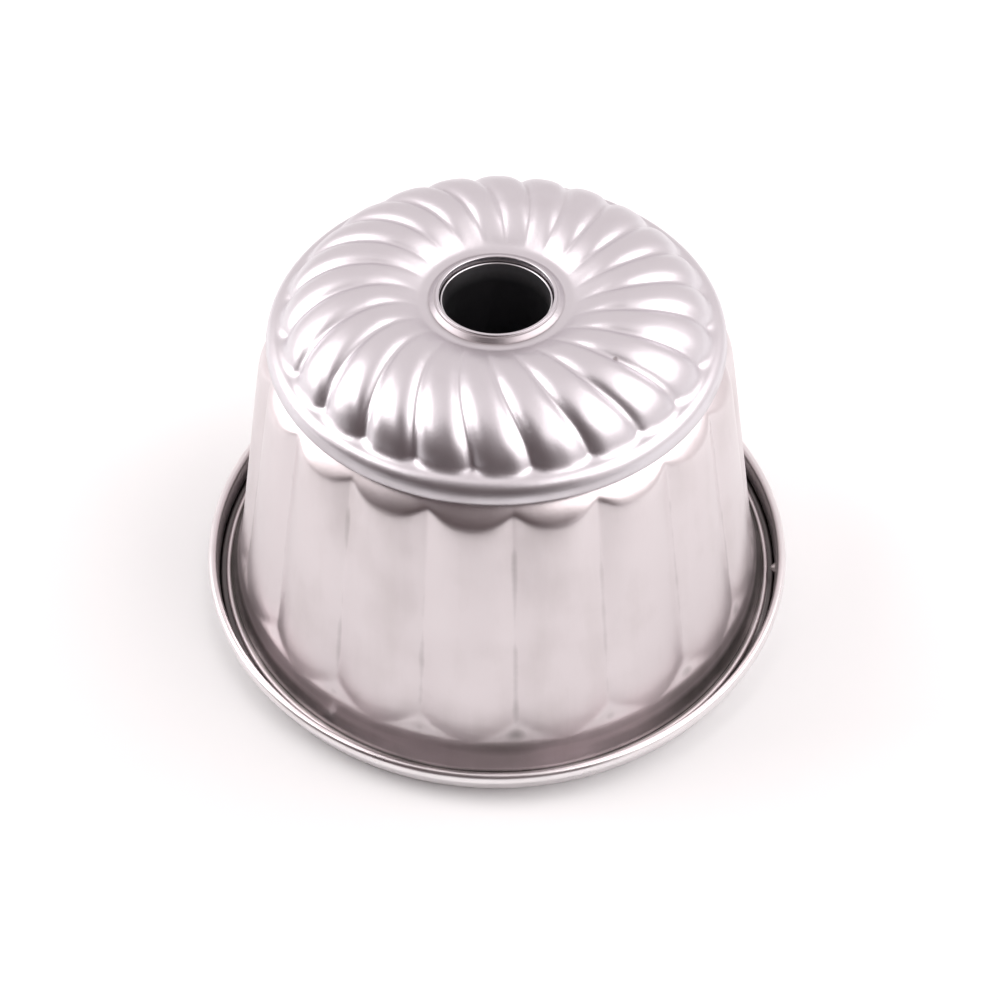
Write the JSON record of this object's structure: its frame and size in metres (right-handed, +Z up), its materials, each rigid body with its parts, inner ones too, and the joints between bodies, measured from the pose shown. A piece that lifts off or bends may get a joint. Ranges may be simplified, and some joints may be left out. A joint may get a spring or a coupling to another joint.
{
  "type": "pudding mould",
  "caption": "Fluted tapering ring mould with a swirled crown and a central tube, standing upside down on its shallow pan lid with a curled rim.",
  "frame": {"origin": "centre of the lid's flat underside, on the table", "axes": "+Z up along the mould's axis from the lid to the crown; -Y towards the camera of the picture"},
  "size_m": [0.19, 0.19, 0.1168],
  "materials": {
    "lid_metal": "satin",
    "wall_metal": "satin with faint stains",
    "crown_metal": "bright satin",
    "tube_metal": "dull satin"
  },
  "bodies": {
    "lid": {"lid_pan": "lid_metal"},
    "mould": {"fluted_wall": "wall_metal", "swirl_crown": "crown_metal", "centre_tube": "tube_metal"}
  },
  "joints": [
    {"name": "mould_lift", "type": "slide", "parent": "lid", "child": "mould", "axis": [0, 0, 1], "range_m": [0, 0.13]}
  ]
}
